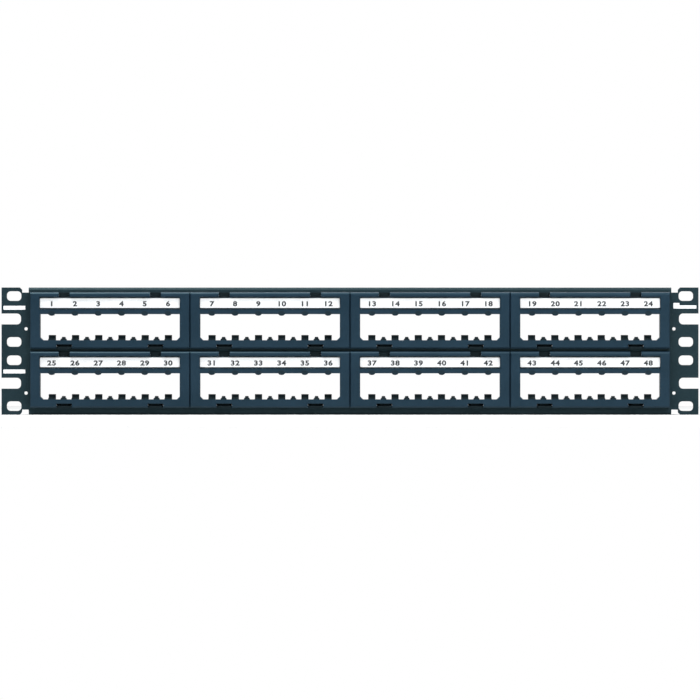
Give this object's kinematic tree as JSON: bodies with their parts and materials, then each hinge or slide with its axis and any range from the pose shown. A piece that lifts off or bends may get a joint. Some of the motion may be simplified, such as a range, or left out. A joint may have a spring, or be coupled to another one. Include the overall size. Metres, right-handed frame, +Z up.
{
  "type": "patch panel",
  "caption": "Rack-mount modular patch panel: bent steel frame with slotted ears and snap-in faceplates, each with a port window and a numbered label behind a clear cover.",
  "frame": {"origin": "centre of the panel on the rack's mounting plane, which is the back face of the web and ears", "axes": "+X to the right seen from the front, +Y to the rear into the rack, +Z up"},
  "size_m": [0.4826, 0.0283, 0.0882],
  "materials": {
    "powder_coated_steel": "fine-textured black powder coat",
    "black_plastic": "satin moulded black plastic",
    "clear_plastic": "clear, polished",
    "label_paper": "matt white printed strip"
  },
  "bodies": {
    "frame": {"frame": "powder_coated_steel"},
    "faceplate_1": {"faceplate_1": "black_plastic", "latch_1_upper_left": "black_plastic", "latch_1_upper_right": "black_plastic", "latch_1_lower_left": "black_plastic", "latch_1_lower_right": "black_plastic"},
    "label_cover_1": {"label_cover_1": "clear_plastic", "label_1": "label_paper"},
    "faceplate_2": {"faceplate_2": "black_plastic", "latch_2_upper_left": "black_plastic", "latch_2_upper_right": "black_plastic", "latch_2_lower_left": "black_plastic", "latch_2_lower_right": "black_plastic"},
    "label_cover_2": {"label_cover_2": "clear_plastic", "label_2": "label_paper"},
    "faceplate_3": {"faceplate_3": "black_plastic", "latch_3_upper_left": "black_plastic", "latch_3_upper_right": "black_plastic", "latch_3_lower_left": "black_plastic", "latch_3_lower_right": "black_plastic"},
    "label_cover_3": {"label_cover_3": "clear_plastic", "label_3": "label_paper"},
    "faceplate_4": {"faceplate_4": "black_plastic", "latch_4_upper_left": "black_plastic", "latch_4_upper_right": "black_plastic", "latch_4_lower_left": "black_plastic", "latch_4_lower_right": "black_plastic"},
    "label_cover_4": {"label_cover_4": "clear_plastic", "label_4": "label_paper"},
    "faceplate_5": {"faceplate_5": "black_plastic", "latch_5_upper_left": "black_plastic", "latch_5_upper_right": "black_plastic", "latch_5_lower_left": "black_plastic", "latch_5_lower_right": "black_plastic"},
    "label_cover_5": {"label_cover_5": "clear_plastic", "label_5": "label_paper"},
    "faceplate_6": {"faceplate_6": "black_plastic", "latch_6_upper_left": "black_plastic", "latch_6_upper_right": "black_plastic", "latch_6_lower_left": "black_plastic", "latch_6_lower_right": "black_plastic"},
    "label_cover_6": {"label_cover_6": "clear_plastic", "label_6": "label_paper"},
    "faceplate_7": {"faceplate_7": "black_plastic", "latch_7_upper_left": "black_plastic", "latch_7_upper_right": "black_plastic", "latch_7_lower_left": "black_plastic", "latch_7_lower_right": "black_plastic"},
    "label_cover_7": {"label_cover_7": "clear_plastic", "label_7": "label_paper"},
    "faceplate_8": {"faceplate_8": "black_plastic", "latch_8_upper_left": "black_plastic", "latch_8_upper_right": "black_plastic", "latch_8_lower_left": "black_plastic", "latch_8_lower_right": "black_plastic"},
    "label_cover_8": {"label_cover_8": "clear_plastic", "label_8": "label_paper"}
  },
  "joints": [
    {"name": "faceplate_1_slide", "type": "slide", "parent": "frame", "child": "faceplate_1", "axis": [0, -1, 0], "range_m": [0, 0.03], "deforming": ["latch_1_upper_left", "latch_1_upper_right", "latch_1_lower_left", "latch_1_lower_right"]},
    {"name": "label_cover_1_slide", "type": "slide", "parent": "faceplate_1", "child": "label_cover_1", "axis": [0, -1, 0], "range_m": [0, 0.012]},
    {"name": "faceplate_2_slide", "type": "slide", "parent": "frame", "child": "faceplate_2", "axis": [0, -1, 0], "range_m": [0, 0.03], "deforming": ["latch_2_upper_left", "latch_2_upper_right", "latch_2_lower_left", "latch_2_lower_right"]},
    {"name": "label_cover_2_slide", "type": "slide", "parent": "faceplate_2", "child": "label_cover_2", "axis": [0, -1, 0], "range_m": [0, 0.012]},
    {"name": "faceplate_3_slide", "type": "slide", "parent": "frame", "child": "faceplate_3", "axis": [0, -1, 0], "range_m": [0, 0.03], "deforming": ["latch_3_upper_left", "latch_3_upper_right", "latch_3_lower_left", "latch_3_lower_right"]},
    {"name": "label_cover_3_slide", "type": "slide", "parent": "faceplate_3", "child": "label_cover_3", "axis": [0, -1, 0], "range_m": [0, 0.012]},
    {"name": "faceplate_4_slide", "type": "slide", "parent": "frame", "child": "faceplate_4", "axis": [0, -1, 0], "range_m": [0, 0.03], "deforming": ["latch_4_upper_left", "latch_4_upper_right", "latch_4_lower_left", "latch_4_lower_right"]},
    {"name": "label_cover_4_slide", "type": "slide", "parent": "faceplate_4", "child": "label_cover_4", "axis": [0, -1, 0], "range_m": [0, 0.012]},
    {"name": "faceplate_5_slide", "type": "slide", "parent": "frame", "child": "faceplate_5", "axis": [0, -1, 0], "range_m": [0, 0.03], "deforming": ["latch_5_upper_left", "latch_5_upper_right", "latch_5_lower_left", "latch_5_lower_right"]},
    {"name": "label_cover_5_slide", "type": "slide", "parent": "faceplate_5", "child": "label_cover_5", "axis": [0, -1, 0], "range_m": [0, 0.012]},
    {"name": "faceplate_6_slide", "type": "slide", "parent": "frame", "child": "faceplate_6", "axis": [0, -1, 0], "range_m": [0, 0.03], "deforming": ["latch_6_upper_left", "latch_6_upper_right", "latch_6_lower_left", "latch_6_lower_right"]},
    {"name": "label_cover_6_slide", "type": "slide", "parent": "faceplate_6", "child": "label_cover_6", "axis": [0, -1, 0], "range_m": [0, 0.012]},
    {"name": "faceplate_7_slide", "type": "slide", "parent": "frame", "child": "faceplate_7", "axis": [0, -1, 0], "range_m": [0, 0.03], "deforming": ["latch_7_upper_left", "latch_7_upper_right", "latch_7_lower_left", "latch_7_lower_right"]},
    {"name": "label_cover_7_slide", "type": "slide", "parent": "faceplate_7", "child": "label_cover_7", "axis": [0, -1, 0], "range_m": [0, 0.012]},
    {"name": "faceplate_8_slide", "type": "slide", "parent": "frame", "child": "faceplate_8", "axis": [0, -1, 0], "range_m": [0, 0.03], "deforming": ["latch_8_upper_left", "latch_8_upper_right", "latch_8_lower_left", "latch_8_lower_right"]},
    {"name": "label_cover_8_slide", "type": "slide", "parent": "faceplate_8", "child": "label_cover_8", "axis": [0, -1, 0], "range_m": [0, 0.012]}
  ]
}
